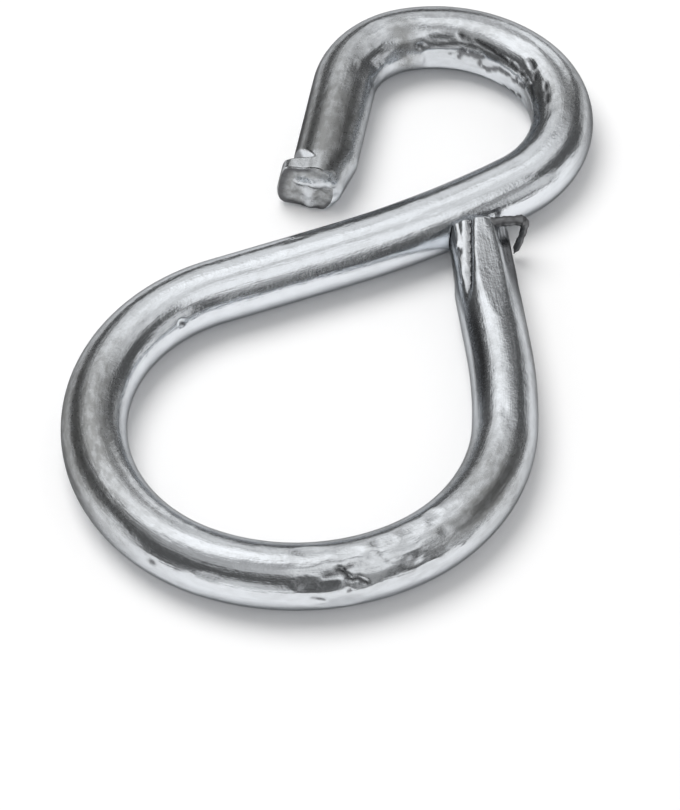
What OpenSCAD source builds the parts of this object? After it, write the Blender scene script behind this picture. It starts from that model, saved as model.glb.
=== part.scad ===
// A hook bent from one round bar: a large closed eye at one end, a small open hook at the other.
// It lies flat, with the bar's centreline in one level plane and its long axis along Y.

/* [Bar] */
// Diameter of the round bar that the whole hook is bent from
wire_d = 8; // [6:0.5:9]

/* [Shank] */
// Slope of the shank's straight stretch, measured from the X axis in degrees
shank_slope = 44; // [35:1:52]
// Length of the straight stretch next to the eye
shank_length = 16; // [13:0.5:19]
// Radius of the gentle bow that leads into the small hook
shank_bow_r = 115; // [100:1:135]
// Turn of that bow in degrees
shank_bow_turn = 12; // [10:0.5:14]

/* [Closed eye] */
// Centreline radius of the bend at the far side of the eye
far_bend_r = 22; // [21:0.5:24]
// Turn of the far bend in degrees
far_bend_turn = 138; // [135:0.5:140]
// Centreline radius of the flatter bend at the bottom of the eye
bottom_bend_r = 27; // [25:0.5:30]
// Turn of the bottom bend in degrees
bottom_bend_turn = 47.5; // [45:0.5:50]
// Centreline radius of the bend at the near side of the eye
near_bend_r = 22.5; // [20:0.5:24]
// Turn of the near bend in degrees
near_bend_turn = 60.5; // [58:0.5:63]
// Radius of the slow bend where the leg straightens out
knee_r = 65; // [55:1:75]
// Turn of that slow bend in degrees
knee_turn = 10.5; // [8:0.5:13]

/* [Open hook] */
// Centreline radius of the bend that follows the shank
hook_bend_r = 13; // [12:0.5:16]
// Turn of that bend in degrees
hook_bend_turn = 102; // [98:1:106]
// Centreline radius of the flatter crown
crown_r = 16.5; // [15:0.5:20]
// Turn of the crown in degrees
crown_turn = 58; // [54:1:62]
// Centreline radius of the tighter shoulder above the free leg
shoulder_r = 10; // [9:0.5:12]
// Turn of the shoulder in degrees
shoulder_turn = 66.5; // [62.5:0.5:68]
// Length of the straight free leg
free_leg = 17.2; // [14:0.2:18.4]

/* [Sheared ends] */
// How far the closed end's face stops short of the shank's centreline, along the leg
face_set_back = 4.6; // [4.2:0.1:5.2]
// Clearance between the closed end and the side of the shank that it is pressed against
closing_gap = 0.2; // [0.1:0.05:0.5]
// Length over which the press pinched the closed end's left side
pinch_length = 9; // [7:0.5:11]
// Depth of that pinched side at the face
pinch_depth = 0.6; // [0.3:0.1:1.2]
// How far the curled sliver at the closed end stands out beyond the bar
sliver_reach = 2.6; // [1.8:0.1:3]
// Thickness of the sliver where it leaves the bar
sliver_d = 1.2; // [1:0.1:1.6]
// Thickness of the sliver where it hangs down
sliver_tip_d = 0.9; // [0.7:0.1:0.9]
// How far the squared lip at the free end stands out beyond the bar
lip_reach = 1.4; // [0.8:0.1:2]
// Height of the lip
lip_height = 7.4; // [6.4:0.2:7.6]
// Thickness of the lip, along the leg
lip_thickness = 2.2; // [1.6:0.1:2.6]
// Distance from the free end's face to the bottom of the notch behind the lip
notch_place = 2.6; // [2.2:0.1:3.4]
// Depth of that notch
notch_depth = 1.7; // [0.8:0.1:2]
// Angle by which the notch leans over the top of the bar
notch_lean = 24; // [15:1:35]
// Angle by which the notch runs towards the face as it climbs
notch_drift = 12; // [6:1:18]
// Length over which the free end's other side tapers towards its face
taper_length = 4.8; // [3:0.2:6]
// Depth of that taper at the face
taper_depth = 1.3; // [0.6:0.1:2]

/* [Tool marks] */
// Depth of the flat that the bending post leaves inside the small hook
post_flat = 0.35; // [0.1:0.05:0.6]
// Depth of the dents left on the bottom of the eye
dent_depth = 0.3; // [0.1:0.05:0.5]
// Radius of the round nose that left each dent
dent_nose_r = 2.5; // [1.5:0.1:4]

/* [Hidden] */
$fn = 96;
wire_r = wire_d / 2;
// Step in diameter between neighbouring stretches of the bar, and how far they lap.
hair = 0.1;
lap = 0.2;
steel = [0.76, 0.78, 0.82];
// Slopes of the notch's wall on the lip's side and on the bar's side.
lip_wall_slope = 0.35;
bar_wall_slope = 1;

// Each stretch of the centreline is [radius, turn], or [0, length] where it is straight.
// Both ends of the hook are walked from the shank's start, and each bend turns left.
hook_way = [
    [0, shank_length],
    [shank_bow_r, shank_bow_turn],
    [hook_bend_r, hook_bend_turn],
    [crown_r, crown_turn],
    [shoulder_r, shoulder_turn],
    [0, free_leg]
];
eye_way = [
    [far_bend_r, far_bend_turn],
    [bottom_bend_r, bottom_bend_turn],
    [near_bend_r, near_bend_turn],
    [knee_r, knee_turn]
];

// A pose is [x, y, heading] of the centreline.
function after(pose, way) = way[0] == 0
    ? [pose[0] + way[1] * cos(pose[2]), pose[1] + way[1] * sin(pose[2]), pose[2]]
    : [pose[0] + way[0] * (sin(pose[2] + way[1]) - sin(pose[2])),
       pose[1] - way[0] * (cos(pose[2] + way[1]) - cos(pose[2])),
       pose[2] + way[1]];
function walk(pose, ways, i = 0) = i == len(ways)
    ? [pose]
    : concat([pose], walk(after(pose, ways[i]), ways, i + 1));
function left_of(pose, reach) = [pose[0] - reach * sin(pose[2]), pose[1] + reach * cos(pose[2])];

hook_poses = walk([0, 0, shank_slope], hook_way);
eye_poses = walk([0, 0, shank_slope + 180], eye_way);
free_end = hook_poses[len(hook_way)];

// The leg runs straight on from the knee until it meets the centreline of the bowed shank.
knee_end = eye_poses[len(eye_way)];
bow_centre = left_of(hook_poses[1], shank_bow_r);
leg_aim = [cos(knee_end[2]), sin(knee_end[2])];
from_bow = [knee_end[0], knee_end[1]] - bow_centre;
along = from_bow * leg_aim;
leg_to_shank = -along - sqrt(along * along - from_bow * from_bow + shank_bow_r * shank_bow_r);
closed_leg = leg_to_shank - face_set_back;
closed_end = after(knee_end, [0, closed_leg]);

// The outline's reach along X and Y sets the middle of the whole hook.
function stops(pose, way) = way[0] == 0
    ? [pose]
    : [for (turn = [0:0.5:way[1]]) after(pose, [way[0], turn])];
outline = concat(
    [for (i = [0:len(hook_way) - 1]) each stops(hook_poses[i], hook_way[i])],
    [for (i = [0:len(eye_way) - 1]) each stops(eye_poses[i], eye_way[i])]
);
xs = [for (p = outline) p[0]];
ys = [for (p = outline) p[1]];
middle = [(min(xs) + max(xs)) / 2, (min(ys) + max(ys)) / 2];

// A stretch that is run in reaches a little way into its neighbours at both ends.
module stretch(way, dia, run_in = 0) {
    if (way[0] == 0) {
        translate([-run_in, 0, 0])
            rotate([0, 90, 0])
            cylinder(d = dia, h = way[1] + 2 * run_in);
    } else {
        more = run_in / way[0] * 180 / PI;
        translate([0, way[0], 0])
            rotate([0, 0, -90 - more])
            rotate_extrude(angle = way[1] + 2 * more)
            translate([way[0], 0])
            circle(d = dia);
    }
}

module place(pose) {
    translate([pose[0], pose[1], 0]) rotate([0, 0, pose[2]]) children();
}

// Every other stretch is thinner by a hair and run in, so neighbours join inside each other.
module bar(poses, ways, dia, thin_first) {
    for (i = [0:len(ways) - 1]) {
        thin = (i % 2 == 0) == thin_first;
        place(poses[i]) stretch(ways[i], thin ? dia - hair : dia, thin ? lap : 0);
    }
}

// Round rod between two places given across and up, a little behind the leg's end.
module rod(start, stop, dia) {
    way = stop - start;
    translate([-sliver_d / 2 - lap, start[0], start[1]])
        rotate([-atan2(way[0], way[1]), 0, 0])
        cylinder(d = dia, h = norm(way));
}

// Sliver that the press squeezed out over the leg's shoulder: it stands out and then hangs down.
module curled_sliver() {
    out = wire_r + sliver_reach - sliver_d / 2;
    root = [-wire_r * 0.3, wire_r * 0.7];
    knuckle = [-out, wire_r * 0.7];
    tip = [-out + sliver_reach * 0.5, -wire_r * 0.75];
    rod(root, knuckle, sliver_d);
    rod(knuckle, tip, sliver_tip_d);
    translate([-sliver_d / 2 - lap, knuckle[0], knuckle[1]])
        sphere(d = sliver_d + hair);
}

// Slanted cut along one side of an end, from nothing to its full depth at the face.
module side_cut(length, depth) {
    past = 1;
    slope = depth / length;
    translate([0, 0, -wire_d])
        linear_extrude(2 * wire_d)
        polygon([
            [-length, wire_r],
            [past, wire_r - depth - past * slope],
            [past, wire_d],
            [-length, wire_d]
        ]);
}

// The straight leg that closes the eye: its face is cut square and coped to the shank's side.
module closing_leg() {
    difference() {
        union() {
            place(knee_end) stretch([0, closed_leg], wire_d - hair, lap);
            place(closed_end) curled_sliver();
        }
        place(closed_end) side_cut(pinch_length, pinch_depth);
        bar(hook_poses, [for (i = [0:2]) hook_way[i]], wire_d + 2 * closing_gap, false);
    }
}

// Metal dragged sideways by the shear, standing out as a squared lip behind the free end's face.
module dragged_lip() {
    out = wire_r + lip_reach;
    top = lip_height / 2;
    corner = lip_height / 6;
    translate([-lip_thickness, 0, 0])
        rotate([90, 0, 90])
        linear_extrude(lip_thickness)
        polygon([
            [0, -top],
            [-out + corner, -top],
            [-out + corner / 3, -top + corner / 2],
            [-out, -top + 2 * corner],
            [-out + corner / 4, top - 2 * corner],
            [-out + corner * 0.7, top],
            [0, top]
        ]);
}

// Groove that the shear's edge left behind the lip; it climbs over the top of the bar.
module shear_notch() {
    reach = wire_d;
    rotate([-notch_lean, 0, 0])
        translate([-notch_place, notch_depth - wire_r, 0])
        rotate([0, notch_drift, 0])
        translate([0, 0, -reach])
        linear_extrude(2 * reach)
        polygon([[0, 0], [-bar_wall_slope * reach, -reach], [lip_wall_slope * reach, -reach]]);
}

// Dents sit on the outer upper side of the bottom bend: [turn along the bend, lean from the top].
dents = [[16, 40], [24, 56], [10, 74], [33, 30]];

module bottom_dent(turn, lean) {
    pose = after(eye_poses[1], [bottom_bend_r, turn]);
    reach = wire_r + dent_nose_r - dent_depth;
    place(pose)
        rotate([lean, 0, 0])
        translate([0, 0, reach])
        sphere(r = dent_nose_r);
}

// Flat left by the upright post that the small hook was bent around.
module post_cut() {
    centre = left_of(hook_poses[2], hook_bend_r);
    translate([centre[0], centre[1], -wire_r])
        cylinder(r = hook_bend_r - wire_r + post_flat, h = wire_d);
}

module s_hook() {
    color(steel)
        translate([-middle[0], -middle[1], wire_r])
        union() {
            difference() {
                union() {
                    bar(hook_poses, hook_way, wire_d, false);
                    bar(eye_poses, eye_way, wire_d, true);
                    place(free_end) dragged_lip();
                }
                post_cut();
                place(free_end) shear_notch();
                place(free_end) side_cut(taper_length, taper_depth);
                for (dent = dents) {
                    bottom_dent(dent[0], dent[1]);
                }
            }
            closing_leg();
        }
}

s_hook();
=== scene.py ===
import math

import bpy
import numpy as np
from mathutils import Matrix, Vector


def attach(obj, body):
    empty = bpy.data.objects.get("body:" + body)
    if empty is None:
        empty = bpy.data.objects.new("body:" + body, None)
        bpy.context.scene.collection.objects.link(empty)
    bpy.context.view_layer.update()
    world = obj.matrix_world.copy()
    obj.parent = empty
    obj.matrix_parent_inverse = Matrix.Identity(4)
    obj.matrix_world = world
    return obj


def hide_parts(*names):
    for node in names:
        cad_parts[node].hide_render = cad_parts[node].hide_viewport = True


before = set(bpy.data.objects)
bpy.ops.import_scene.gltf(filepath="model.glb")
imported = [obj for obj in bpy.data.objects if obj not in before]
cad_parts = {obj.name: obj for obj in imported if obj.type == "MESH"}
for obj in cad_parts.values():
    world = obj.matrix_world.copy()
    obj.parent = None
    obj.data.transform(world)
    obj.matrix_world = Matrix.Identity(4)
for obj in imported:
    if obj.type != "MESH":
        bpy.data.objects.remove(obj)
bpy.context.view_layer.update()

bl_info = {
    "name": "S hook in zinc plated bar",
    "version": (1, 0, 0),
    "blender": (4, 5, 0),
    "location": "3D View > Sidebar > S hook",
    "description": "An s hook bent from one round bar, with sheared ends and the marks of bending",
    "category": "Object",
}

NODE = "s_hook"
BODY = "root"
MM = 0.001
FULL_TURN = 2 * math.pi

# How many points go round the bar, and how many steps lie between a face's rim and its middle.
COLUMNS = 96
FACE_STEPS = 14


# Sizes and colours that a user would change.

def length_prop(name, description, default):
    return bpy.props.FloatProperty(name=name, description=description, default=default,
                                   min=0, precision=5, subtype="DISTANCE", unit="LENGTH")


def turn_prop(name, description, degrees):
    return bpy.props.FloatProperty(name=name, description=description,
                                   default=math.radians(degrees), subtype="ANGLE", unit="ROTATION")


def share_prop(name, description, default):
    return bpy.props.FloatProperty(name=name, description=description, default=default,
                                   min=0, max=1, subtype="FACTOR")


def colour_prop(name, description, default):
    return bpy.props.FloatVectorProperty(name=name, description=description, default=default,
                                         size=3, min=0, max=1, subtype="COLOR")


class HookBendSizes(bpy.types.PropertyGroup):
    """Centreline of the bar, from the free end of the small hook to the closed end of the eye."""
    wire_diameter: length_prop("Bar diameter", "Diameter of the round bar", 0.00789)
    shank_slope: turn_prop("Shank slope", "Slope of the shank's straight stretch from the X axis", 44)
    free_leg: length_prop("Free leg", "Length of the straight leg at the open end", 0.0172)
    shoulder_radius: length_prop("Shoulder radius", "Bend above the free leg", 0.010)
    shoulder_turn: turn_prop("Shoulder turn", "Turn of the shoulder", 66.5)
    crown_radius: length_prop("Crown radius", "Flatter bend at the top of the small hook", 0.0165)
    crown_turn: turn_prop("Crown turn", "Turn of the crown", 58)
    hook_radius: length_prop("Hook bend radius", "Bend between the crown and the shank", 0.013)
    hook_turn: turn_prop("Hook bend turn", "Turn of the hook bend", 102)
    bow_radius: length_prop("Shank bow radius", "Gentle bow of the shank", 0.115)
    bow_turn: turn_prop("Shank bow turn", "Turn of the bow", 12)
    shank_length: length_prop("Shank length", "Straight stretch of the shank", 0.016)
    far_radius: length_prop("Far bend radius", "Bend at the far side of the eye", 0.022)
    far_turn: turn_prop("Far bend turn", "Turn of the far bend", 138)
    bottom_radius: length_prop("Bottom bend radius", "Flatter bend at the bottom of the eye", 0.027)
    bottom_turn: turn_prop("Bottom bend turn", "Turn of the bottom bend", 47.5)
    near_radius: length_prop("Near bend radius", "Bend at the near side of the eye", 0.0225)
    near_turn: turn_prop("Near bend turn", "Turn of the near bend", 60.5)
    knee_radius: length_prop("Knee radius", "Slow bend where the closed leg straightens", 0.065)
    knee_turn: turn_prop("Knee turn", "Turn of the slow bend", 10.5)
    closed_leg: length_prop("Closed leg", "Straight leg that closes the eye", 0.018)


class HookEndSizes(bpy.types.PropertyGroup):
    """The two sheared ends."""
    lip_reach: length_prop("Lip reach", "How far the dragged lip stands out from the bar", 0.00135)
    lip_height: length_prop("Lip height", "Height of the dragged lip", 0.0073)
    lip_thickness: length_prop("Lip thickness", "Thickness of the lip along the leg", 0.0021)
    notch_place: length_prop("Notch place", "Distance from the face to the notch", 0.0026)
    notch_depth: length_prop("Notch depth", "Depth of the notch behind the lip", 0.0017)
    notch_lean: turn_prop("Notch lean", "How far the notch leans over the bar's top", 24)
    notch_drift: turn_prop("Notch drift", "How far the notch runs to the face as it climbs", 12)
    taper_length: length_prop("Taper length", "Length of the tapered side at the free end", 0.0048)
    taper_depth: length_prop("Taper depth", "Depth of the taper at the free end's face", 0.0013)
    tear_depth: length_prop("Tear depth", "Relief of the torn face at the free end", 0.0004)
    pinch_length: length_prop("Pinch length", "Length of the pinched side at the closed end", 0.0090)
    pinch_depth: length_prop("Pinch depth", "Depth of the pinched side at the face", 0.0006)
    fin_height: length_prop("Fin height", "Height of the squeezed fin along the closed leg", 0.00028)
    crease_depth: length_prop("Crease depth", "Depth of the crease beside the fin", 0.0005)
    closing_gap: length_prop("Closing gap", "Clearance between the closed end and the shank", 0.0002)
    sliver_reach: length_prop("Sliver reach", "How far the curled sliver stands out from the bar", 0.0025)
    sliver_thickness: length_prop("Sliver thickness", "Thickness of the sliver at its root", 0.0011)
    sliver_tip: length_prop("Sliver tip", "Thickness of the sliver where it hangs down", 0.0008)


class HookMarkSizes(bpy.types.PropertyGroup):
    """Tool marks and the unevenness of the drawn bar."""
    post_flat: length_prop("Post flat", "Depth of the flat inside the small hook", 0.00035)
    unevenness: length_prop("Unevenness", "Waviness of the bar's skin", 0.00005)
    press_depth: length_prop("Press depth", "Depth of the deepest pressed facets", 0.00022)
    gouge_scale: share_prop("Gouge scale", "Strength of the single gouges", 0.8)


class HookFinish(bpy.types.PropertyGroup):
    """Zinc plate."""
    bright_zinc: colour_prop("Bright zinc", "Colour of the clean plate", (0.78, 0.81, 0.845))
    # This colour also paints painted shade on the duller stretches and on the sliver.
    dull_and_shade_zinc: colour_prop("Dull zinc", "Colour of the duller stretches", (0.33, 0.335, 0.335))
    # The pit colour also paints the dark bands of painted shade, the shade in the crease and the dark
    # sliver.
    pit_and_shade_zinc: colour_prop("Pit zinc", "Colour in the pits and gouges", (0.08, 0.08, 0.085))
    edge_zinc: colour_prop("Edge tint", "Reflection of the plate at a grazing angle", (0.30, 0.30, 0.30))
    clean_roughness: share_prop("Clean roughness", "Roughness of the clean plate", 0.15)
    dull_roughness: share_prop("Dull roughness", "Roughness of the duller stretches", 0.30)
    streak_relief: length_prop("Streak relief", "Bump height of the drawn streaks", 0.00002)
    grain_relief: length_prop("Grain relief", "Bump height of the plate's grain", 0.000015)


class HookStage(bpy.types.PropertyGroup):
    """Floor, surroundings, lamps and camera."""
    floor_colour: colour_prop("Floor colour", "Colour of the pale table", (0.93, 0.93, 0.935))
    floor_radius: length_prop("Floor radius", "Reach of the table", 0.5)
    surround_radius: length_prop("Surround radius", "Reach of the studio walls", 1.1)
    key_power: bpy.props.FloatProperty(name="Key power", description="Power of the key lamp",
                                       default=3.7, min=0, subtype="POWER", unit="POWER")
    sky_level: bpy.props.FloatProperty(name="Sky level", description="Soft light from all around",
                                       default=0.60, min=0)
    camera_azimuth: turn_prop("Camera azimuth", "Turn of the camera about the hook", 22.76)
    camera_elevation: turn_prop("Camera elevation", "Height angle of the camera", 51)
    camera_distance: length_prop("Camera distance", "Distance from the aim point", 0.6098)
    camera_lens: bpy.props.FloatProperty(name="Lens", description="Focal length in millimetres",
                                         default=228.04, min=1)


# The bar's centreline and surface. Lengths run from the free end to the closed end.

def bend_way(sizes):
    """Stretches of the centreline as (length, curvature); the small hook turns right, the eye left."""
    s = sizes
    return [
        (s.free_leg, 0),
        (s.shoulder_radius * s.shoulder_turn, -1 / s.shoulder_radius),
        (s.crown_radius * s.crown_turn, -1 / s.crown_radius),
        (s.hook_radius * s.hook_turn, -1 / s.hook_radius),
        (s.bow_radius * s.bow_turn, -1 / s.bow_radius),
        (s.shank_length, 0),
        (s.far_radius * s.far_turn, 1 / s.far_radius),
        (s.bottom_radius * s.bottom_turn, 1 / s.bottom_radius),
        (s.near_radius * s.near_turn, 1 / s.near_radius),
        (s.knee_radius * s.knee_turn, 1 / s.knee_radius),
        (s.closed_leg, 0),
    ]


class Centreline:
    """Walks the bends and centres the whole hook on the origin."""

    def __init__(self, sizes):
        self.way = bend_way(sizes)
        self.length = sum(length for length, _ in self.way)
        self.start = np.zeros(2)
        self.heading = (sizes.shank_slope + math.pi + sizes.bow_turn + sizes.hook_turn
                        + sizes.crown_turn + sizes.shoulder_turn)
        samples = 4000
        points, _ = self.at(np.linspace(0, self.length, samples))
        self.start = -(points.min(0) + points.max(0)) / 2

    def at(self, places):
        """Points and headings at the given lengths."""
        places = np.asarray(places, float)
        points = np.zeros((len(places), 2))
        headings = np.zeros(len(places))
        corner, heading, passed = self.start, self.heading, 0.0
        last = len(self.way) - 1
        for i, (length, curve) in enumerate(self.way):
            on = (places >= passed) & ((places < passed + length) | (i == last))
            along = places[on] - passed
            points[on] = corner + self.step(heading, curve, along)
            headings[on] = heading + curve * along
            corner = corner + self.step(heading, curve, np.array([length]))[0]
            heading += curve * length
            passed += length
        return points, headings

    @staticmethod
    def step(heading, curve, along):
        """How far the line has come after going along a straight or round stretch."""
        if curve == 0:
            return along[:, None] * np.array([math.cos(heading), math.sin(heading)])
        turned = heading + curve * along
        return np.stack([np.sin(turned) - math.sin(heading),
                         math.cos(heading) - np.cos(turned)], 1) / curve


def smooth_step(low, high, value):
    """0 below low, 1 above high, and a soft rise between."""
    share = np.clip((value - low) / (high - low), 0, 1)
    return share * share * (3 - 2 * share)


def short_way(turn):
    """The same turn, from minus half a turn to half a turn."""
    return (turn + math.pi) % FULL_TURN - math.pi


def degrees_from(middle, turn):
    """How far a turn is from the middle, in degrees and the short way round."""
    return (np.degrees(turn) - middle + 180) % 360 - 180


def soft_line(value, middle, width):
    """1 on the middle, fading softly to both sides."""
    return np.exp(-((value - middle) / width) ** 2)


def soft_noise(pattern, along, turn):
    """Smooth noise from 0 to 1 over the bar's skin; it closes on itself around the bar."""
    seed, cell, cells_round = pattern
    rows = int(np.max(along) / (cell * MM)) + 3
    grid = np.random.default_rng(seed).random((rows, cells_round))
    u = along / (cell * MM)
    v = (turn / FULL_TURN % 1) * cells_round
    iu = np.floor(u).astype(int)
    iv = np.floor(v).astype(int)
    fu = smooth_step(0, 1, u - iu)
    fv = smooth_step(0, 1, v - iv)
    left, right = iv % cells_round, (iv + 1) % cells_round
    near = grid[iu, left] * (1 - fv) + grid[iu, right] * fv
    far = grid[iu + 1, left] * (1 - fv) + grid[iu + 1, right] * fv
    return near * (1 - fu) + far * fu


def ring_places(length):
    """Lengths of the rings, close together near both ends and on the closed leg."""
    fine, medium, coarse = 0.09 * MM, 0.2 * MM, 0.30 * MM
    end_reach, leg_reach = 4.5 * MM, 12 * MM
    head_rings = 70
    head = end_reach * (1 - np.cos(np.linspace(0, math.pi / 2, head_rings)))[:-1]
    tail = length - np.arange(0, end_reach, fine)[::-1]
    leg = np.arange(length - leg_reach, tail[0] - medium / 2, medium)
    middle = np.linspace(end_reach, leg[0], int((leg[0] - end_reach) / coarse), endpoint=False)
    return np.concatenate([head, middle, leg, tail])


# Smooth noises over the skin: (seed, cell in mm, cells round the bar). The waves have a share first.
SKIN_WAVES = [
    (0.55, (1, 9, 7)),
    (0.30, (2, 3.1, 13)),
    (0.15, (3, 1.3, 24)),
]
BROKEN_EDGES = (4, 4.4, 9)
RAGGED_SCRATCH = (5, 0.6, 40)

# Slopes of the notch's wall on the lip's side and on the bar's side.
LIP_WALL_SLOPE = 0.35
BAR_WALL_SLOPE = 1

# Where the post's flat deepens, as (share, from, to), and where it fades out, in mm along the bar.
POST_GRIP = [
    (0.12, 24, 30),
    (0.88, 30.5, 31.2),
]
POST_FADE = (62, 70)

# Stretches where the plate is duller and darker, partly a rougher plate and partly painted shade where the
# reflections are dimmer, on one side of the bar in some: (place, half length, turn, half turn, share), in
# mm and degrees.
DULL_AND_SHADED_STRETCHES = [
    (4, 20, 68, 95, 1.0),
    (28, 2.6, 140, 70, 0.8),
    (38, 10, 90, 100, 0.35),
    (54, 7, 90, 100, 0.6),
    (138, 16, 125, 85, 0.95),
    (180, 13, 90, 100, 0.3),
    (198, 9, 90, 100, 0.65),
    (196, 10, 124, 24, 1.0),
    (216, 8, 90, 100, 0.3),
    (222, 14, 185, 45, 0.8),
    (232, 8, 75, 40, 0.3),
]

# Painted shade: dark bands along the bar that stand in for dark reflections and shade at its rims and
# sides, in the same terms.
PAINTED_SHADE_STRETCHES = [
    (10, 15, 15, 25, 0.9),
    (56, 9, 12, 28, 0.7),
    (140, 20, 178, 28, 0.6),
    (218, 12, 42, 17, 1.0),
    (231, 9, 152, 30, 0.95),
    (195, 9, 124, 15, 0.40),
]

# Long flats of the closing press: (place, turn, depth, half length), in mm and degrees.
PRESSED_FLATS = [
    (230, 95, 0.28, 8.5),
]

# Patches of pressed facets: (from, to, turn from, turn to, how many, deepest, seed), in mm and degrees.
# The deepest facet is a share of the press depth.
PRESSED_PATCHES = [
    (172, 191, 80, 185, 38, 1.0, 11),
    (176, 192, 78, 130, 16, 0.8, 12),
    (16, 33, 78, 160, 30, 0.6, 13),
    (44, 60, 96, 150, 20, 0.5, 14),
    (150, 172, 140, 185, 12, 0.35, 15),
    (228, 237, 60, 170, 14, 0.5, 16),
]

# Single gouges: (place, turn, length, width, depth), in mm and degrees.
GOUGES = [
    (34.2, 133, 1.2, 0.5, 0.14),
    (30.3, 147, 0.6, 0.5, 0.22),
    (35.0, 166, 0.5, 0.4, 0.20),
    (46.8, 172, 0.6, 0.4, 0.16),
    (53.5, 134, 1.6, 0.4, 0.18),
    (57.0, 146, 1.2, 0.4, 0.14),
    (181.4, 124, 0.5, 0.5, 0.14),
    (172.6, 150, 0.7, 0.4, 0.12),
    (184.6, 136, 0.7, 0.5, 0.16),
    (116.0, 26, 0.5, 0.4, 0.30),
    (156.3, 164, 0.6, 0.5, 0.26),
    (120.5, 70, 0.9, 0.3, 0.12),
    (98.0, 110, 1.6, 0.3, 0.10),
    (141.0, 96, 1.2, 0.3, 0.10),
    (207.5, 88, 1.2, 0.35, 0.10),
    (68.0, 96, 1.4, 0.35, 0.10),
    (81.0, 72, 1.2, 0.3, 0.10),
]

# Depth in mm from which a gouge is as dark as a pit.
BLACK_DEPTH = 0.25

# Scribbled scratches: (width, depth, the places it runs through as (place, turn)), in mm and degrees.
SCRIBBLES = [
    (0.80, 0.15, [(36.2, 172), (36.6, 160), (37.1, 154), (38.2, 157), (40.3, 158)]),
    (0.72, 0.13, [(40.3, 158), (40.0, 176), (41.2, 184), (42.4, 176), (43.0, 166)]),
    (0.70, 0.13, [(43.0, 166), (45.5, 166), (46.6, 170)]),
    (0.70, 0.13, [(47.4, 160), (48.4, 164), (50.2, 152)]),
    (0.40, 0.18, [(44.4, 206), (46.4, 204), (48.6, 197)]),
    (0.44, 0.26, [(36.2, 127), (37.4, 129)]),
    (0.34, 0.14, [(38.6, 130), (41.3, 135), (43.1, 138), (46.2, 140), (48.5, 142), (50.9, 143),
                  (53.8, 148)]),
    (0.44, 0.28, [(47.6, 114), (48.6, 118)]),
    (0.36, 0.18, [(49.6, 119), (50.4, 128), (50.8, 138)]),
    (0.36, 0.16, [(52.2, 115), (55.6, 119)]),
    (0.34, 0.30, [(176.0, 118), (176.8, 131), (177.2, 142), (177.0, 160)]),
    (0.30, 0.26, [(177.2, 142), (178.0, 139), (178.8, 151)]),
    (0.30, 0.18, [(174.6, 130), (176.0, 126), (177.6, 116)]),
    (0.34, 0.20, [(173.2, 170), (174.4, 174)]),
]


def stretch_share(along, turn, stretches):
    """How far each point lies within the given stretches, from 0 to 1."""
    share = np.zeros_like(along)
    for place, half_length, middle, half_turn, strength in stretches:
        off = (along / MM - place) / half_length
        around = degrees_from(middle, turn) / half_turn
        share = np.maximum(share, strength * np.exp(-off ** 2 - around ** 4))
    broken = 0.9 + 0.2 * soft_noise(BROKEN_EDGES, along, turn)
    return np.clip(share * broken, 0, 1)


def scribble_dent(along, turn, full, width, points):
    """How deep each point lies in a scratch that runs through the given places, from 0 to 1."""
    per_degree = full * FULL_TURN / 360
    beyond = 10 * MM
    nearest = np.full(along.shape, beyond)
    for (place, lean), (next_place, next_lean) in zip(points, points[1:]):
        run = np.array([(next_place - place) * MM, (next_lean - lean) * per_degree])
        off = along - place * MM
        around = degrees_from(lean, turn) * per_degree
        share = np.clip((off * run[0] + around * run[1]) / (run @ run), 0, 1)
        nearest = np.minimum(nearest, np.hypot(off - share * run[0], around - share * run[1]))
    return np.exp(-(nearest / (width * MM)) ** 2)


def draw_facets():
    """Every small flat left by the bending tools: (place, turn, share of the press depth, half length)."""
    shallowest = 0.25
    shortest, longest = 1.0, 3.2
    facets = []
    for start, stop, turn_from, turn_to, count, deepest, seed in PRESSED_PATCHES:
        draw = np.random.default_rng(seed)
        for _ in range(count):
            facets.append((draw.uniform(start, stop) * MM,
                           math.radians(draw.uniform(turn_from, turn_to)),
                           deepest * draw.uniform(shallowest, 1),
                           draw.uniform(shortest, longest) * MM))
    return facets


def press_flat(radius, off, turn, full, depth, reach):
    """Cuts one shallow flat that dies out along the bar."""
    across = np.cos(turn)
    edge_cosine = 0.3
    plane = (full - depth + depth * (off / reach) ** 2) / np.maximum(across, edge_cosine)
    return np.minimum(radius, np.where(across > edge_cosine, plane, full))


def press_post_flat(radius, along, turn, full, depth):
    """The upright post leaves a flat inside the small hook's bends."""
    inner = math.pi
    across = np.cos(turn - inner)
    edge_cosine = 0.2
    pressed = sum(share * smooth_step(start * MM, stop * MM, along) for share, start, stop in POST_GRIP)
    on_post = pressed * (1 - smooth_step(POST_FADE[0] * MM, POST_FADE[1] * MM, along))
    flat = (full - depth) / np.maximum(across, edge_cosine)
    flat = np.where(across > edge_cosine, flat, full)
    return np.where(radius > flat, radius + (flat - radius) * on_post, radius)


def press_facets(radius, along, turn, full, press_depth):
    """The bending tools' small facets and the closing press's long flats."""
    reaches = 2.5
    for place, lean, depth, reach in draw_facets():
        off = along - place
        near = np.abs(off[:, 0]) < reaches * reach
        radius[near] = press_flat(radius[near], off[near], turn[near] - lean, full,
                                  depth * press_depth, reach)
    for place, lean, depth, reach in PRESSED_FLATS:
        off = along - place * MM
        radius = press_flat(radius, off, turn - math.radians(lean), full, depth * MM, reach * MM)
    return radius


def cut_gouges(radius, wear_and_shade, along, turn, full, scale):
    """Cuts the single gouges and darkens them, the deeper the darker."""
    lengths = 3
    for place, lean, long, wide, depth in GOUGES:
        off = (along - place * MM) / (long * MM)
        near = np.abs(off[:, 0]) < lengths
        around = short_way(turn[near] - math.radians(lean))
        dent = np.exp(-off[near] ** 2 - (around * full / (wide * MM)) ** 2)
        radius[near] -= dent * depth * MM * scale
        wear_and_shade[near] = np.maximum(wear_and_shade[near], dent * min(1, depth / BLACK_DEPTH))


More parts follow.
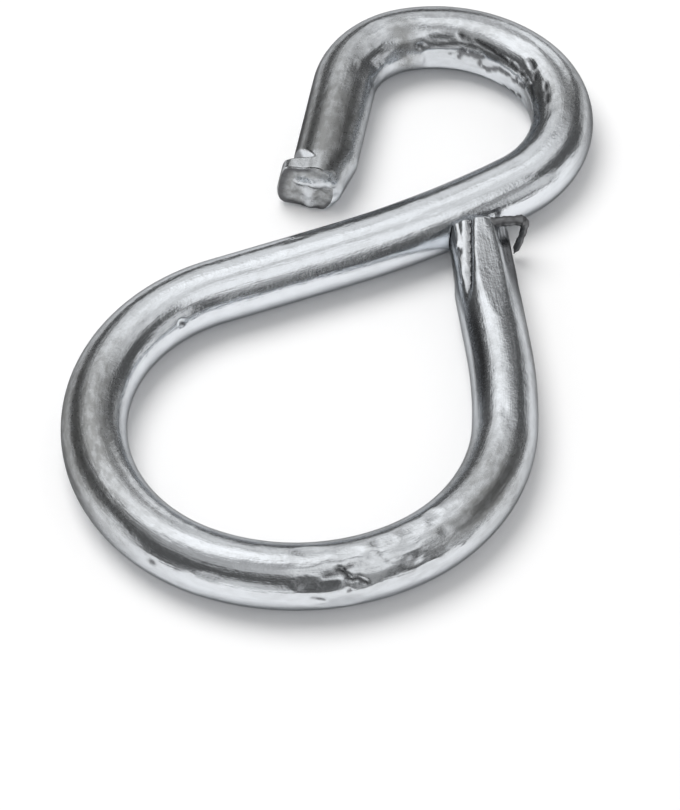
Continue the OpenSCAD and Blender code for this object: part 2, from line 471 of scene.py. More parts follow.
def cut_scribbles(radius, wear_and_shade, along, turn, full, scale):
    """Cuts the scribbled scratches with ragged depth and darkens them."""
    ragged = 0.45 + 0.55 * smooth_step(0.2, 0.5, soft_noise(RAGGED_SCRATCH, along, turn))
    beside = 2
    for width, depth, points in SCRIBBLES:
        reach = [place for place, _ in points]
        near = (along[:, 0] > (min(reach) - beside) * MM) & (along[:, 0] < (max(reach) + beside) * MM)
        dent = scribble_dent(along[near], turn[near], full, width, points) * ragged[near]
        radius[near] -= dent * depth * MM * scale
        wear_and_shade[near] = np.maximum(wear_and_shade[near], dent)


def skin_radius(along, turn, bends, ends, marks):
    """Radius of the skin at every ring and column, and how dark its marks and its painted shade are, from
    0 to 1.
    """
    full = bends.wire_diameter / 2
    back = np.max(along) - along
    wave = sum(share * soft_noise(pattern, along, turn) for share, pattern in SKIN_WAVES)
    radius = full - marks.unevenness * wave
    radius = press_post_flat(radius, along, turn, full, marks.post_flat)
    radius = press_facets(radius, along, turn, full, marks.press_depth)

    wear_and_shade = np.zeros_like(radius)
    cut_gouges(radius, wear_and_shade, along, turn, full, marks.gouge_scale)
    cut_scribbles(radius, wear_and_shade, along, turn, full, marks.gouge_scale)
    # Painted shade: the dark bands darken the plate where the bar shows dark reflections and shade.
    wear_and_shade = np.maximum(wear_and_shade, stretch_share(along, turn, PAINTED_SHADE_STRETCHES))

    radius = free_end_radius(radius, along, turn, full, ends)
    return closed_end_radius(radius, wear_and_shade, back, turn, full, ends)


def skin_dullness_and_light(along, turn, radius, full):
    """How far the plate is made duller at every ring and column, from 0 to 1: partly a rougher plate and
    partly painted shade, with painted highlights on the lip and its groove.
    """
    dull_and_painted_light = stretch_share(along, turn, DULL_AND_SHADED_STRETCHES)
    # Painted highlight: the sheared lip's top and the walls of the groove behind it get a brighter colour.
    lip_middle, lip_half_turn, brighter = 62, 42, 0.45
    lip_top = np.exp(-((np.degrees(turn) - lip_middle) / lip_half_turn) ** 4)
    sheared = (1 - smooth_step(2.6 * MM, 3.4 * MM, along)) * lip_top
    dull_and_painted_light = dull_and_painted_light * (1 - brighter * sheared)
    behind_lip = (along > 2.2 * MM) & (along < 6 * MM) & (np.cos(turn) > 0.2)
    return dull_and_painted_light * (1 - behind_lip * smooth_step(0.02 * MM, 0.2 * MM, full - radius))


def rounded_rim(away, reach, drop):
    """How much a face's rounded rim takes off the radius, at a distance from the face."""
    return drop * (1 - smooth_step(0, reach, away)) ** 2


def free_end_radius(radius, along, turn, full, ends):
    """The squared lip that the shear dragged out, and the notch behind it."""
    side = short_way(turn)
    across, upward = np.cos(side), np.sin(side)
    squareness = 6
    drawn_in = 0.17 * np.clip(upward + 0.2, 0, 1)
    out = (full + ends.lip_reach) * (1 - drawn_in)
    tall = ends.lip_height / 2
    lip = (np.abs(across / out) ** squareness + np.abs(upward / tall) ** squareness) ** (-1 / squareness)
    lip_back = ends.lip_thickness + 0.4 * MM
    share = (1 - smooth_step(ends.lip_thickness, lip_back, along)) * (across > 0)
    radius = np.where(lip > radius, radius + (lip - radius) * share, radius)
    radius = np.minimum(radius, notch_radius(along, side, full, ends))
    return radius - rounded_rim(along, 0.30 * MM, 0.16 * MM)


def notch_radius(along, side, full, ends):
    """Radius at which a ray from the bar's middle enters the straight groove behind the lip."""
    lean, drift = ends.notch_lean, ends.notch_drift
    to_out, to_climb = np.cos(side - lean), np.sin(side - lean)
    bottom = full - ends.notch_depth
    toward_face = (ends.notch_place - along) * math.cos(drift)
    far = 10 * full
    least = 1e-6
    enters = np.zeros_like(along)
    for slope, facing in ((LIP_WALL_SLOPE, 1), (BAR_WALL_SLOPE, -1)):
        need = facing * toward_face + slope * bottom
        grows = slope * to_out + facing * to_climb * math.sin(drift)
        wall = np.where(grows > least, need / np.maximum(grows, least), np.where(need > 0, far, 0))
        enters = np.maximum(enters, wall)
    return np.where(to_out > 0, enters, far)


def tapered_side(left, along, full, ends):
    """The side away from the lip tapers towards the free end's face and rounds over at its edge."""
    taper = ends.taper_depth * np.clip(1 - along / ends.taper_length, 0, 1)
    edge = 0.8 * MM
    rounded = edge - np.sqrt(edge ** 2 - np.clip(edge - along, 0, edge) ** 2)
    return np.where(left < 0, left * (full - taper - rounded) / full, left)


def pinched_side(left, back, full, ends):
    """The press pinched the closed end's left side, more and more towards its face."""
    share = np.clip(1 - back / ends.pinch_length, 0, 1)
    limit = full - ends.pinch_depth * share
    softness = 0.35 * MM
    over = left - limit
    eased = limit - softness * np.log1p(np.exp(-over / softness))
    fade = np.clip(4 * share, 0, 1)
    return np.where((left > 0) & (share > 0), left + (eased - left) * fade, left)


def squeezed_fin(side, back):
    """The thin fin that the press squeezed up along the closed leg, broken at one place."""
    fin_turn = math.radians(47) - 0.07 * smooth_step(2 * MM, 6 * MM, back)
    width = 0.065
    broken = 1 - 0.8 * soft_line(back, 4.6 * MM, 0.7 * MM)
    share = (1 - smooth_step(8.0 * MM, 9.6 * MM, back)) * broken
    return soft_line(side, fin_turn, width) * share


def press_crease(side, back):
    """The crease beside the fin, which runs down the leg's left side as it leaves the face."""
    start_turn, turn_per_mm, turning = math.radians(78), math.radians(2.7), 14
    crease_turn = start_turn - turn_per_mm * np.minimum(back / MM, turning)
    width = 0.115
    return soft_line(side, crease_turn, width) * (1 - smooth_step(9 * MM, 13 * MM, back))


def press_hollow(side, back):
    """The shallow hollow on the other side of the closed leg."""
    middle, width = math.radians(139), 0.17
    return soft_line(side, middle, width) * (1 - smooth_step(5 * MM, 9 * MM, back))


def closed_end_radius(radius, wear_and_shade, back, turn, full, ends):
    """The marks of the closing press on the closed leg, counted back from the closed face."""
    side = short_way(turn)
    hollow_depth = 0.30 * MM
    crease = press_crease(side, back)
    radius = radius + ends.fin_height * squeezed_fin(side, back)
    radius = radius - ends.crease_depth * crease
    radius = radius - hollow_depth * press_hollow(side, back)
    # Painted shade: the crease is coloured darker where shade falls in it.
    wear_and_shade = np.maximum(wear_and_shade, 0.8 * crease)
    return radius - rounded_rim(back, 0.4 * MM, 0.2 * MM), wear_and_shade


# Ridges of the torn face: (height, place, lean, width, middle, full reach, whole reach).
# All but the height and the lean are in bar radii. The upright one stands, the level one lies.
UPRIGHT_RIDGE = (0.8, 0.38, 0.10, 0.16, -0.35, 0.40, 0.80)
LEVEL_RIDGE = (0.85, 0.32, -0.10, 0.22, 0.08, 0.50, 0.85)
TORN_KNOB = (-0.28, 0.30, 0.17)

# Ripples of the torn face: (height, waves to the left, waves up), as a share of the tear depth.
TORN_RIPPLES = [
    (0.14, 9, 3),
    (0.11, -4, 13),
    (0.06, 21, 17),
    (0.03, 33, -26),
]
TORN_LEAN = 0.35


def face_ridge(over, along, ridge):
    """One ridge of the torn face, from places across it and along it."""
    height, place, lean, width, middle, full_reach, whole_reach = ridge
    line = soft_line(over - place, lean * along, width)
    return height * (line * (1 - smooth_step(full_reach, whole_reach, np.abs(along - middle))))


def torn_ridges(left, up, full):
    """The cross of ridges on the free end's torn face and the knob beside it, from 0 to 1."""
    x, z = left / full, up / full
    knob_left, knob_up, knob_width = TORN_KNOB
    knob = np.exp(-((x - knob_left) / knob_width) ** 2 - ((z - knob_up) / knob_width) ** 2)
    cross = np.maximum(face_ridge(x, z, UPRIGHT_RIDGE), face_ridge(z, x, LEVEL_RIDGE))
    return np.clip(np.maximum(cross, knob), 0, 1)


def torn_face(left, up, full, depth):
    """Relief of the free end's torn face."""
    x, z = left / full, up / full
    ripple = sum(height * np.sin(to_left * x + to_up * z) for height, to_left, to_up in TORN_RIPPLES)
    return depth * (torn_ridges(left, up, full) + ripple + TORN_LEAN * z)


# How many stretches of the centreline come before the shank's straight one.
BEFORE_SHANK = 5


def closed_face_places(line, sizes, ends, left, up):
    """Where each column stops at the closed end: at the square cut or short of the shank's side."""
    end_place = line.length
    knee = np.array([end_place - sizes.closed_leg])
    points, headings = line.at(knee)
    aim = np.array([math.cos(headings[0]), math.sin(headings[0])])
    side = np.array([-aim[1], aim[0]])
    bow_end = sum(length for length, _ in line.way[:BEFORE_SHANK])
    corner, heading = line.at(np.array([bow_end]))
    toward = heading[0] - math.pi / 2
    centre = corner[0] + sizes.bow_radius * np.array([math.cos(toward), math.sin(toward)])
    shank = sizes.wire_diameter / 2
    reach = sizes.bow_radius + np.sqrt(np.clip(shank * shank - up * up, 0, None)) + ends.closing_gap
    apart = points[0] + left[..., None] * side - centre
    along = apart @ aim
    spare = np.clip(along * along - (apart ** 2).sum(-1) + reach * reach, 0, None)
    stop = knee[0] + np.where(spare > 0, -along - np.sqrt(spare), sizes.closed_leg)
    return np.minimum(stop, end_place)


def sliver_points(length, full, ends):
    """The sliver squeezed out over the closed end's shoulder: rings of (bar length, left, up)."""
    out = full + ends.sliver_reach - ends.sliver_thickness / 2
    hang = ends.sliver_reach
    route = np.array([
        (-0.30 * full, 0.74 * full),
        (-0.75 * full, 0.80 * full),
        (-out + 0.25 * hang, 0.76 * full),
        (-out, 0.66 * full),
        (-out + 0.06 * hang, 0.30 * full),
        (-out + 0.20 * hang, -0.12 * full),
        (-out + 0.36 * hang, -0.46 * full),
        (-out + 0.50 * hang, -0.76 * full),
    ])
    rings_count, round_count, smoothings = 64, 20, 10
    at = np.linspace(0, len(route) - 1, rings_count)
    path = np.stack([np.interp(at, range(len(route)), route[:, k]) for k in (0, 1)], 1)
    for _ in range(smoothings):
        path[1:-1] = (path[:-2] + 2 * path[1:-1] + path[2:]) / 4
    way = np.gradient(path, axis=0)
    way /= np.linalg.norm(way, axis=1)[:, None]
    around = np.linspace(0, FULL_TURN, round_count, endpoint=False)
    back = ends.sliver_thickness / 2 + 0.2 * MM
    rings = []
    for i, (place, aim) in enumerate(zip(path, way)):
        share = i / (rings_count - 1)
        ragged = 1 + 0.08 * math.sin(0.7 * i) + 0.06 * math.sin(1.9 * i + 1)
        thinned = smooth_step(0.35, 0.6, share)
        thick = ends.sliver_thickness + (ends.sliver_tip - ends.sliver_thickness) * thinned
        point = math.sqrt(max(0.04, 1 - smooth_step(0.86, 1.0, share)))
        half = thick / 2 * ragged * point
        wide = half * (1.25 + 0.15 * math.sin(0.4 * i))
        rings.append(np.stack([
            length - back - wide * np.cos(around),
            place[0] - aim[1] * half * np.sin(around),
            place[1] + aim[0] * half * np.sin(around),
        ], 1))
    return rings


def skin_faces(rings, columns, first=0):
    """Quads of a tube whose rings follow one another."""
    faces = []
    for i in range(rings - 1):
        here, there = first + i * columns, first + (i + 1) * columns
        for j in range(columns):
            k = (j + 1) % columns
            faces.append((here + j, here + k, there + k, there + j))
    return faces


def cap_faces(ring, tip, columns, outward):
    """Triangles that close a ring on one point."""
    faces = []
    for j in range(columns):
        k = (j + 1) % columns
        faces.append((ring + j, ring + k, tip) if outward else (ring + k, ring + j, tip))
    return faces


def face_shrink():
    """Sizes of a face's rings, from just inside its rim to close to its middle."""
    return np.cos(np.linspace(0, math.pi / 2, FACE_STEPS + 1))[1:-1]


def face_rings(place_of, left, up):
    """Rings of (bar length, left, up) from a face's rim in to the point in its middle."""
    centre = np.zeros(1)
    rings = [(left * k, up * k) for k in face_shrink()] + [(centre, centre)]
    return [(place_of(*ring), *ring) for ring in rings]


def follow_faces(along, left, up, relief, line, closed_place):
    """Bar lengths of the skin, with its first and last rings following the two faces."""
    torn_reach, cope_reach = 1.6 * MM, 9 * MM
    along = along - (1 - smooth_step(0, torn_reach, along)) * relief(left, up)
    squeeze = np.clip((along - (line.length - cope_reach)) / cope_reach, 0, 1)
    return along - squeeze ** 1.5 * (line.length - closed_place(left, up))


def torn_face_tone_and_light(rings, full):
    """How dark the torn face is and how far it is made duller: the ridges and the knob get a painted
    highlight, and a painted shade darkens the outline away from the taper.
    """
    left, up = np.concatenate([np.stack(ring[1:], 1) for ring in rings]).T
    ridges = torn_ridges(left, up, full)
    rim = np.concatenate([[0], np.repeat(face_shrink()[::-1], COLUMNS)])
    outer_side = smooth_step(-0.6, 0.2, (left - 0.5 * up) / full)
    outline = smooth_step(0.70, 0.96, rim) * outer_side
    # Painted highlight on the ridges, painted shade along the outline; the plain tone is the torn steel's
    # own.
    plain, paler, darker, dullest = 0.34, 0.4, 0.6, 0.85
    return np.clip(plain - paler * ridges + darker * outline, 0, 1), dullest * (1 - ridges)


def hook_mesh(bends, ends, marks):
    """The whole bar: free face, skin, closed face and the curled sliver."""
    # The closed face gets a darker tone; the curled sliver is coloured dark as painted shade and painted
    # dark reflection.
    closed_worn, sliver_shade = 0.5, 0.8
    full = bends.wire_diameter / 2
    line = Centreline(bends)
    places = ring_places(line.length)
    turns = np.linspace(0, FULL_TURN, COLUMNS, endpoint=False)
    along = np.repeat(places[:, None], COLUMNS, 1)
    turn = np.repeat(turns[None, :], len(places), 0)
    radius, wear_and_shade = skin_radius(along, turn, bends, ends, marks)
    dull_and_painted_light = skin_dullness_and_light(along, turn, radius, full)
    left = tapered_side(radius * np.cos(turn), along, full, ends)
    left = pinched_side(left, line.length - along, full, ends)
    up = np.clip(radius * np.sin(turn), -full, full)

    def relief(left, up):
        return torn_face(left, up, full, ends.tear_depth)

    def closed_place(left, up):
        return closed_face_places(line, bends, ends, left, up)

    along = follow_faces(along, left, up, relief, line, closed_place)
    free_face = face_rings(lambda left, up: -relief(left, up), left[0], up[0])[::-1]
    closed_face = face_rings(closed_place, left[-1], up[-1])
    bands = free_face + list(zip(along, left, up)) + closed_face
    sliver = sliver_points(line.length, full, ends)
    tips = [sliver[0].mean(0)[None], sliver[-1].mean(0)[None]]
    straight = np.concatenate([np.stack(band, 1) for band in bands] + sliver + tips)

    rings = len(bands) - 2
    closed_tip = 1 + rings * COLUMNS
    first, count = closed_tip + 1, len(sliver[0])
    faces = cap_faces(1, 0, COLUMNS, False)
    faces += skin_faces(rings, COLUMNS, 1)
    faces += cap_faces(closed_tip - COLUMNS, closed_tip, COLUMNS, True)
    faces += skin_faces(len(sliver), count, first)
    faces += cap_faces(first, len(straight) - 2, count, False)
    faces += cap_faces(first + (len(sliver) - 1) * count, len(straight) - 1, count, True)

    face_tone_and_shade, face_dullness_and_highlight = torn_face_tone_and_light(free_face, full)
    on_closed = first - len(face_tone_and_shade) - wear_and_shade.size
    on_sliver = len(straight) - first
    wear_and_shade = [face_tone_and_shade, wear_and_shade.ravel(), np.full(on_closed, closed_worn), np.full(on_sliver, sliver_shade)]
    dull_and_painted_light = [face_dullness_and_highlight, dull_and_painted_light.ravel(), np.zeros(on_closed), np.full(on_sliver, sliver_shade)]
    facts = {"unbent": straight, "wear_and_shade": np.concatenate(wear_and_shade), "dull_and_painted_light": np.concatenate(dull_and_painted_light)}
    return bend_points(line, straight, full), faces, facts


def bend_points(line, straight, full):
    """Bends points given as (bar length, left, up) onto the hook, resting on the floor."""
    points, headings = line.at(np.clip(straight[:, 0], 0, line.length))
    over = straight[:, 0] - np.clip(straight[:, 0], 0, line.length)
    aim = np.stack([np.cos(headings), np.sin(headings)], 1)
    side = np.stack([-aim[:, 1], aim[:, 0]], 1)
    flat = points + over[:, None] * aim + straight[:, 1:2] * side
    rest = 0.01 * MM
    return np.concatenate([flat, straight[:, 2:3] + full + rest], 1)


def mesh_object(name, points, faces):
    """A new object in the scene, shaded smooth but for its sharp edges."""
    mesh = bpy.data.meshes.new(name)
    mesh.from_pydata(points.tolist(), [], faces)
    mesh.validate()
    mesh.update()
    mesh.shade_smooth()
    sharp_from = math.radians(50)
    mesh.set_sharp_from_angle(angle=sharp_from)
    piece = bpy.data.objects.new(name, mesh)
    bpy.context.scene.collection.objects.link(piece)
    return piece


# Materials.

class Nodes:
    """Short ways to add and link shader nodes."""

    def __init__(self, owner):
        owner.use_nodes = True
        self.tree = owner.node_tree
        self.tree.nodes.clear()

    def add(self, kind, **settings):
        node = self.tree.nodes.new(kind)
        for key, value in settings.items():
            setattr(node, key, value)
        return node

    def link(self, out, socket):
        self.tree.links.new(out, socket)

    def fill(self, socket, value):
        """Links another node's socket, or sets a plain value."""
        if isinstance(value, bpy.types.NodeSocket):
            self.link(value, socket)
        else:
            socket.default_value = value

    def math(self, operation, first, second=0.0, clamp=False):
        node = self.add("ShaderNodeMath", operation=operation, use_clamp=clamp)
        self.fill(node.inputs[0], first)
        self.fill(node.inputs[1], second)
        return node.outputs[0]

    def noise(self, vector, stretch, detail, roughness=0.55):
        """Noise over the unbent bar; stretch is cells per metre along, across and up."""
        scaled = self.add("ShaderNodeVectorMath", operation="MULTIPLY")
        self.link(vector, scaled.inputs[0])
        scaled.inputs[1].default_value = stretch
        node = self.add("ShaderNodeTexNoise")
        self.link(scaled.outputs[0], node.inputs["Vector"])
        node.inputs["Scale"].default_value = 1
        node.inputs["Detail"].default_value = detail
        node.inputs["Roughness"].default_value = roughness
        return node.outputs[0]

    def ramp(self, value, low, high, start=0.0, stop=1.0):
        """Turns low to high softly into start to stop."""
        node = self.add("ShaderNodeMapRange", interpolation_type="SMOOTHSTEP")
        self.fill(node.inputs["Value"], value)
        node.inputs["From Min"].default_value = low
        node.inputs["From Max"].default_value = high
        node.inputs["To Min"].default_value = start
        node.inputs["To Max"].default_value = stop
        return node.outputs["Result"]

    def blend(self, share, first, second):
        """Mixes two colours; a Mix node has its colour sockets at 6 and 7."""
        node = self.add("ShaderNodeMix", data_type="RGBA")
        self.fill(node.inputs["Factor"], share)
        self.fill(node.inputs[6], first)
        self.fill(node.inputs[7], second)
        return node.outputs[2]


# Patterns of the plate: (cells per metre along, across and up the unbent bar), detail.
BLOTCH = ((260, 420, 420), 4)
MOTTLE = ((700, 1300, 1300), 4)
STREAK = ((120, 2600, 2600), 3)
FINE_STREAK = ((420, 7000, 7000), 2)
GRAIN = ((3200, 3200, 3200), 3)


def zinc_plate_material(finish):
    """Bright zinc plate with drawn streaks, duller blotches, fine grain and dark marks, with painted shade
    and painted highlights carried by the mesh's attributes.
    """
    material = bpy.data.materials.new("zinc_plate")
    nodes = Nodes(material)
    out = nodes.add("ShaderNodeOutputMaterial")
    shader = nodes.add("ShaderNodeBsdfPrincipled")
    nodes.link(shader.outputs[0], out.inputs["Surface"])
    unbent = nodes.add("ShaderNodeAttribute", attribute_name="unbent").outputs["Vector"]
    wear_and_shade = nodes.add("ShaderNodeAttribute", attribute_name="wear_and_shade").outputs["Fac"]
    dullness_and_painted_light = nodes.add("ShaderNodeAttribute", attribute_name="dull_and_painted_light").outputs["Fac"]

    blotch = nodes.ramp(nodes.noise(unbent, *BLOTCH), 0.42, 0.66)
    mottle = nodes.noise(unbent, *MOTTLE)
    streak = nodes.noise(unbent, *STREAK)
    fine_streak = nodes.noise(unbent, *FINE_STREAK)
    grain = nodes.noise(unbent, *GRAIN)

    clean = (*finish.bright_zinc, 1)
    dull_and_painted_light = (*finish.dull_and_shade_zinc, 1)
    pit = (*finish.pit_and_shade_zinc, 1)
    spots = nodes.math("MULTIPLY", blotch, nodes.ramp(streak, 0.30, 0.70, 0.02, 0.16))
    fleck = nodes.ramp(mottle, 0.35, 0.65, -0.14, 0.14)
    fleck = nodes.math("MULTIPLY", fleck, nodes.math("ADD", dullness_and_painted_light, 0.25))
    cloud = nodes.math("ADD", nodes.math("ADD", dullness_and_painted_light, spots), fleck, clamp=True)
    # Blends towards the duller colour: a rougher plate, and the painted shade and highlights from the
    # attribute.
    colour = nodes.blend(cloud, clean, dull_and_painted_light)
    # Pits, gouges and scratches turn to the pit colour, and so do the painted shade of the dark bands, the
    # crease and the sliver.
    colour = nodes.blend(nodes.ramp(wear_and_shade, 0.25, 0.95, 0.0, 0.8), colour, pit)
    nodes.link(colour, shader.inputs["Base Color"])
    shader.inputs["Metallic"].default_value = 1
    shader.inputs["Specular Tint"].default_value = (*finish.edge_zinc, 1)
    rough = nodes.ramp(cloud, 0.0, 1.0, finish.clean_roughness, finish.dull_roughness)
    rough = nodes.math("ADD", rough, nodes.ramp(grain, 0.3, 0.7, -0.03, 0.05))
    rough = nodes.math("ADD", rough, nodes.math("MULTIPLY", wear_and_shade, 0.10))
    nodes.link(rough, shader.inputs["Roughness"])

    height = nodes.math("MULTIPLY", streak, finish.streak_relief)
    height = nodes.math("ADD", height, nodes.math("MULTIPLY", fine_streak, finish.streak_relief * 0.4))
    height = nodes.math("ADD", height, nodes.math("MULTIPLY", grain, finish.grain_relief))
    height = nodes.math("ADD", height, nodes.math("MULTIPLY", blotch, finish.streak_relief))
    bump = nodes.add("ShaderNodeBump")
    bump.inputs["Strength"].default_value = 1
    bump.inputs["Distance"].default_value = 1
    nodes.link(height, bump.inputs["Height"])
    nodes.link(bump.outputs[0], shader.inputs["Normal"])
    return material


def floor_material(colour):
    """Plain pale table top."""
    material = bpy.data.materials.new("pale_table")
    nodes = Nodes(material)
    out = nodes.add("ShaderNodeOutputMaterial")
    shader = nodes.add("ShaderNodeBsdfDiffuse")
    shader.inputs["Color"].default_value = (*colour, 1)
    nodes.link(shader.outputs[0], out.inputs["Surface"])
    return material


# Bright zones of the studio: (turn from straight behind, height, inner, outer, level). All but the
# level, where 1 is white, are in degrees, and a zone fades from its inner to its outer reach.
STUDIO_ZONES = [
    (325, 62, 14, 32, 1.27),
    (5, 66, 10, 26, 1.03),
    (50, 62, 10, 28, 0.80),
    (335, 42, 8, 22, 0.85),
    (20, 20, 7, 17, 1.17),
    (352, 33, 9, 20, 0.80),
    (138, 62, 12, 30, 1.03),
    (180, 66, 8, 24, 0.56),
    (240, 66, 10, 30, 0.47),
    (150, 40, 8, 20, 0.47),
    (112, 20, 8, 20, 0.70),
    (158, 18, 6, 16, 0.42),
    (262, 3, 8, 22, 1.03),
    (90, 3, 6, 16, 0.94),
    (50, 2, 6, 16, 0.66),
    (200, 3, 10, 26, 0.66),
]
STUDIO_DARK = 0.10

# The key lamp: its turn and height as above, and its distance and width in metres.
KEY_TURN, KEY_HEIGHT = 312, 69
KEY_DISTANCE, KEY_WIDTH = 0.75, 0.55
KEY_COLOUR = (1.0, 0.995, 0.985)

# Where the camera looks, as a point on the table.
CAMERA_AIM = (2.08 * MM, -13.54 * MM, 0)


def surround_material(facing):
    """Studio walls that only reflections see: dark all round, with the soft bright zones."""
    material = bpy.data.materials.new("studio_walls")
    nodes = Nodes(material)
    out = nodes.add("ShaderNodeOutputMaterial")
    glow = nodes.add("ShaderNodeEmission")
    nodes.link(glow.outputs[0], out.inputs["Surface"])
    place = nodes.add("ShaderNodeNewGeometry").outputs["Position"]
    toward = nodes.add("ShaderNodeVectorMath", operation="NORMALIZE")
    nodes.link(place, toward.inputs[0])
    level = STUDIO_DARK
    for turn, height, inner, outer, bright in STUDIO_ZONES:
        aim = zone_direction(facing, turn, height)
        dot = nodes.add("ShaderNodeVectorMath", operation="DOT_PRODUCT")
        nodes.link(toward.outputs[0], dot.inputs[0])
        dot.inputs[1].default_value = aim
        low, high = math.cos(math.radians(outer)), math.cos(math.radians(inner))
        share = nodes.ramp(dot.outputs["Value"], low, high)
        lit = nodes.math("MULTIPLY", share, bright)
        level = nodes.math("MAXIMUM", level, lit)
    nodes.fill(glow.inputs["Strength"], level)
    glow.inputs["Color"].default_value = (1, 1, 1, 1)
    return material


def zone_direction(facing, turn, height):
    """Direction at a turn clockwise from straight behind the hook, seen from the camera's side."""
    ahead = math.pi / 2 + facing - math.radians(turn)
    level = math.cos(math.radians(height))
    return (level * math.cos(ahead), level * math.sin(ahead), math.sin(math.radians(height)))


def world_light(level):
    """White behind everything, for the camera and in reflections; soft even light for the rest."""
    world = bpy.data.worlds.new("studio_light")
    bpy.context.scene.world = world
    nodes = Nodes(world)
    out = nodes.add("ShaderNodeOutputWorld")
    seen = nodes.add("ShaderNodeLightPath")
    white = nodes.math("MAXIMUM", seen.outputs["Is Camera Ray"], seen.outputs["Is Glossy Ray"])
    white = nodes.math("MAXIMUM", white, seen.outputs["Is Transmission Ray"])
    back = nodes.add("ShaderNodeBackground")
    back.inputs["Color"].default_value = (1, 1, 1, 1)
    nodes.link(nodes.ramp(white, 0, 1, level, 1.0), back.inputs["Strength"])
    nodes.link(back.outputs[0], out.inputs["Surface"])


# Operators.

class MESH_OT_bend_s_hook(bpy.types.Operator):
    """Bend the round bar into the s hook, with both sheared ends and every tool mark"""
    bl_idname = "mesh.bend_s_hook"
    bl_label = "Bend the s hook"

    def execute(self, context):
        scene = context.scene
        points, faces, facts = hook_mesh(scene.hook_bends, scene.hook_ends, scene.hook_marks)
        piece = mesh_object("bent_bar", points, faces)
        mesh = piece.data
        unbent = mesh.attributes.new("unbent", "FLOAT_VECTOR", "POINT")
        unbent.data.foreach_set("vector", facts["unbent"].astype(np.float32).ravel())
        for name in ("wear_and_shade", "dull_and_painted_light"):
            layer = mesh.attributes.new(name, "FLOAT", "POINT")
            layer.data.foreach_set("value", facts[name].astype(np.float32))
        mesh.materials.append(zinc_plate_material(scene.hook_finish))
        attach(piece, BODY)
        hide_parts(NODE)
        return {"FINISHED"}


class MESH_OT_lay_pale_table(bpy.types.Operator):
    """Lay the pale table and stand the studio walls that the plate reflects"""
    bl_idname = "mesh.lay_pale_table"
    bl_label = "Lay the table"

    def execute(self, context):
        stage = context.scene.hook_stage
        rim_points = 96
        rim = [(stage.floor_radius * math.cos(turn), stage.floor_radius * math.sin(turn), 0)
               for turn in np.linspace(0, FULL_TURN, rim_points, endpoint=False)]
        floor = bpy.data.objects.new("pale_table", bpy.data.meshes.new("pale_table"))
        floor.data.from_pydata(rim, [], [tuple(range(len(rim)))])
        floor.data.materials.append(floor_material(stage.floor_colour))
        context.scene.collection.objects.link(floor)

        steps, rows = 64, 18
        low = math.radians(-4)
        points = []
        for height in np.linspace(low, math.pi / 2, rows, endpoint=False):
            for turn in np.linspace(0, FULL_TURN, steps, endpoint=False):
                points.append((stage.surround_radius * math.cos(height) * math.cos(turn),
                               stage.surround_radius * math.cos(height) * math.sin(turn),
                               stage.surround_radius * math.sin(height)))
        points.append((0, 0, stage.surround_radius))
        faces = skin_faces(rows, steps) + cap_faces((rows - 1) * steps, len(points) - 1, steps, True)
        walls = mesh_object("studio_walls", np.array(points), faces)
        walls.data.materials.append(surround_material(stage.camera_azimuth))
        for ray in ("camera", "diffuse", "shadow", "transmission", "volume_scatter"):
            setattr(walls, "visible_" + ray, False)
        return {"FINISHED"}


class OBJECT_OT_light_s_hook(bpy.types.Operator):
    """Set the soft light and the key lamp"""
    bl_idname = "object.light_s_hook"
    bl_label = "Light the hook"

    def execute(self, context):
        stage = context.scene.hook_stage
        world_light(stage.sky_level)
        lamp = bpy.data.lights.new("key_lamp", "AREA")
        lamp.shape = "DISK"
        lamp.size = KEY_WIDTH
        lamp.energy = stage.key_power
        lamp.color = KEY_COLOUR
        key = bpy.data.objects.new("key_lamp", lamp)
        aim = Vector(zone_direction(stage.camera_azimuth, KEY_TURN, KEY_HEIGHT))
        key.location = aim * KEY_DISTANCE
        key.rotation_euler = aim.to_track_quat("Z", "Y").to_euler()
        key.visible_glossy = False
        context.scene.collection.objects.link(key)
        return {"FINISHED"}


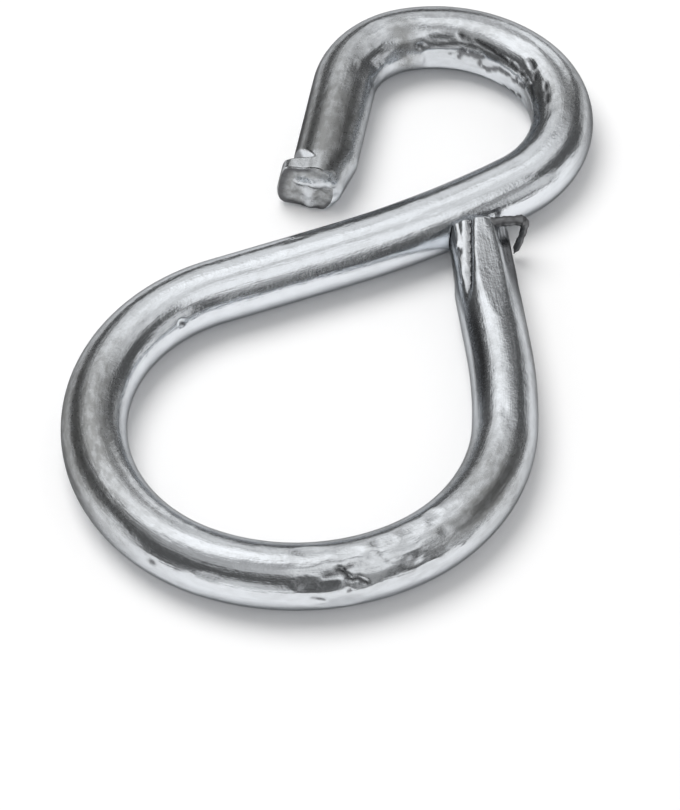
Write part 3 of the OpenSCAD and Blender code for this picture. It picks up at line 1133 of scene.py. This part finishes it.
class OBJECT_OT_aim_hook_camera(bpy.types.Operator):
    """Stand the camera where the photograph was taken from"""
    bl_idname = "object.aim_hook_camera"
    bl_label = "Aim the camera"

    def execute(self, context):
        stage = context.scene.hook_stage
        aim = Vector(CAMERA_AIM)
        level = stage.camera_distance * math.cos(stage.camera_elevation)
        away = Vector((level * math.sin(stage.camera_azimuth),
                       -level * math.cos(stage.camera_azimuth),
                       stage.camera_distance * math.sin(stage.camera_elevation)))
        data = bpy.data.cameras.new("hook_camera")
        data.sensor_fit = "VERTICAL"
        data.sensor_height = 36
        data.lens = stage.camera_lens
        data.clip_start = 0.01
        data.clip_end = 10
        camera = bpy.data.objects.new("hook_camera", data)
        camera.location = aim + away
        camera.rotation_euler = away.to_track_quat("Z", "Y").to_euler()
        context.scene.collection.objects.link(camera)
        context.scene.camera = camera
        context.scene.view_settings.view_transform = "Standard"
        return {"FINISHED"}


class VIEW3D_PT_s_hook(bpy.types.Panel):
    """Steps that make the s hook and its studio"""
    bl_idname = "VIEW3D_PT_s_hook"
    bl_label = "S hook"
    bl_space_type = "VIEW_3D"
    bl_region_type = "UI"
    bl_category = "S hook"

    def draw(self, context):
        for operator in OPERATORS:
            self.layout.operator(operator.bl_idname)


GROUPS = {
    "hook_bends": HookBendSizes,
    "hook_ends": HookEndSizes,
    "hook_marks": HookMarkSizes,
    "hook_finish": HookFinish,
    "hook_stage": HookStage,
}
OPERATORS = [
    MESH_OT_bend_s_hook,
    MESH_OT_lay_pale_table,
    OBJECT_OT_light_s_hook,
    OBJECT_OT_aim_hook_camera,
]


def register():
    for group in [*GROUPS.values(), *OPERATORS, VIEW3D_PT_s_hook]:
        bpy.utils.register_class(group)
    for name, group in GROUPS.items():
        setattr(bpy.types.Scene, name, bpy.props.PointerProperty(type=group))


def unregister():
    for name in GROUPS:
        delattr(bpy.types.Scene, name)
    for group in reversed([*GROUPS.values(), *OPERATORS, VIEW3D_PT_s_hook]):
        bpy.utils.unregister_class(group)


def main():
    register()
    bpy.ops.mesh.bend_s_hook()
    bpy.ops.mesh.lay_pale_table()
    bpy.ops.object.light_s_hook()
    bpy.ops.object.aim_hook_camera()


if __name__ == "__main__":
    main()
